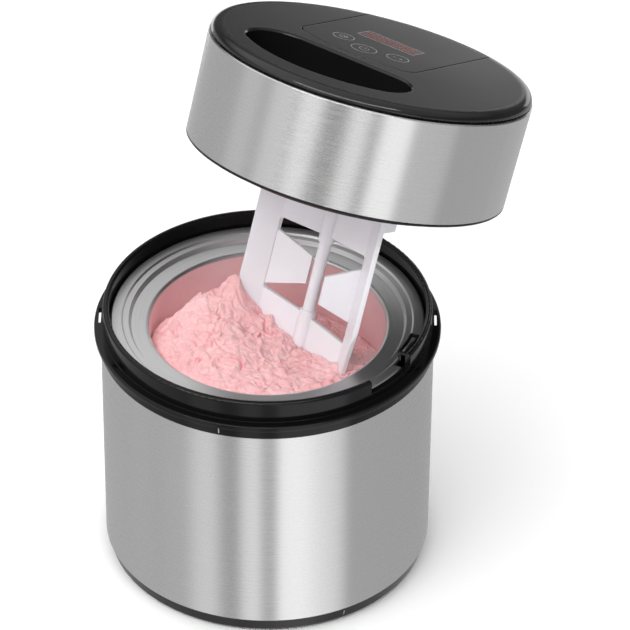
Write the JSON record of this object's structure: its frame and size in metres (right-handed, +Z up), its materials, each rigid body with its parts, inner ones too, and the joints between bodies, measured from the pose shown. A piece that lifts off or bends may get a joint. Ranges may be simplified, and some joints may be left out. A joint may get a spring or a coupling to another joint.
{
  "type": "ice cream maker",
  "caption": "Countertop ice cream maker with a freezer bowl, its motor lid held up and leaning to lift the stirring paddle out of the bowl.",
  "frame": {"origin": "centre of the rest face under the feet, on the axis of the housing", "axes": "+Z up, -Y towards the user, +X to the user's right; rest pose has the lid raised, leaning and turned"},
  "size_m": [0.2594, 0.2424, 0.3566],
  "materials": {
    "base_black": "satin",
    "foot_rubber": "matte",
    "screw_steel": "polished",
    "sleeve_steel": "brushed",
    "liner_grey": "matte",
    "collar_black": "gloss",
    "bowl_aluminium": "satin",
    "shell_aluminium": "satin",
    "seal_rubber": "matte",
    "coolant_gel": "matte",
    "band_steel": "brushed",
    "cap_black": "satin",
    "panel_black": "satin",
    "display_glass": "gloss",
    "led_red": "gloss",
    "board_green": "matte",
    "inner_black": "matte",
    "cover_black": "satin",
    "bush_brass": "satin",
    "plate_steel": "zinc plated",
    "shaft_steel": "ground",
    "capacitor_sleeve": "gloss",
    "rotor_iron": "varnished",
    "gear_white": "matte",
    "paddle_white": "satin, slightly translucent"
  },
  "bodies": {
    "housing": {"base_tray": "base_black", "rubber_feet": "foot_rubber", "base_screws": "screw_steel", "steel_sleeve": "sleeve_steel", "well_liner": "liner_grey", "collar": "collar_black", "collar_clip": "collar_black"},
    "bowl": {"bowl_inner": "bowl_aluminium", "bowl_outer": "shell_aluminium", "bowl_seal": "seal_rubber", "coolant": "coolant_gel", "filler_plug": "seal_rubber"},
    "lid": {"steel_band": "band_steel", "top_cap": "cap_black", "control_panel": "panel_black", "display_window": "display_glass", "led_display": "led_red", "control_board": "board_green", "touch_pads": "seal_rubber", "beeper": "inner_black", "bottom_cover": "cover_black", "lid_screws": "screw_steel", "cord_grommet": "seal_rubber", "lower_bush": "bush_brass", "shaft_seal": "seal_rubber", "gear_plate": "plate_steel", "plate_screws": "screw_steel", "upper_bush": "bush_brass", "idler_axle": "shaft_steel", "motor_can": "plate_steel", "motor_screws": "screw_steel", "motor_end_cap": "inner_black", "power_board": "board_green", "transformer": "inner_black", "capacitors": "capacitor_sleeve"},
    "rotor": {"motor_rotor": "rotor_iron", "pinion": "bush_brass"},
    "idler": {"compound_gear": "gear_white"},
    "drive": {"output_gear": "gear_white", "output_shaft": "shaft_steel", "shaft_clip": "screw_steel", "paddle": "paddle_white"}
  },
  "joints": [
    {"name": "bowl_lift", "type": "slide", "parent": "housing", "child": "bowl", "axis": [0, 0, 1], "range_m": [0, 0.15]},
    {"name": "lid_hinge", "type": "hinge", "parent": "bowl", "child": "lid", "pos_m": [0.16502, 0.16703, 0.08796], "axis": [-0.7493, 0.6247, 0.2195], "range_deg": [-22.66, 8]},
    {"name": "drive_spin", "type": "hinge", "parent": "lid", "child": "drive", "pos_m": [0.0455, 0.0258, 0.2565], "axis": [0.228, 0.2993, 0.9265], "continuous": true},
    {"name": "idler_spin", "type": "hinge", "parent": "lid", "child": "idler", "pos_m": [0.06372, 0.05264, 0.24335], "axis": [0.228, 0.2993, 0.9265], "continuous": true},
    {"name": "motor_spin", "type": "hinge", "parent": "lid", "child": "rotor", "pos_m": [0.08707, 0.05003, 0.23844], "axis": [0.228, 0.2993, 0.9265], "continuous": true}
  ],
  "couplings": [
    {"joint": "idler_spin", "follows": "drive_spin", "ratio": -4},
    {"joint": "motor_spin", "follows": "drive_spin", "ratio": 16}
  ]
}
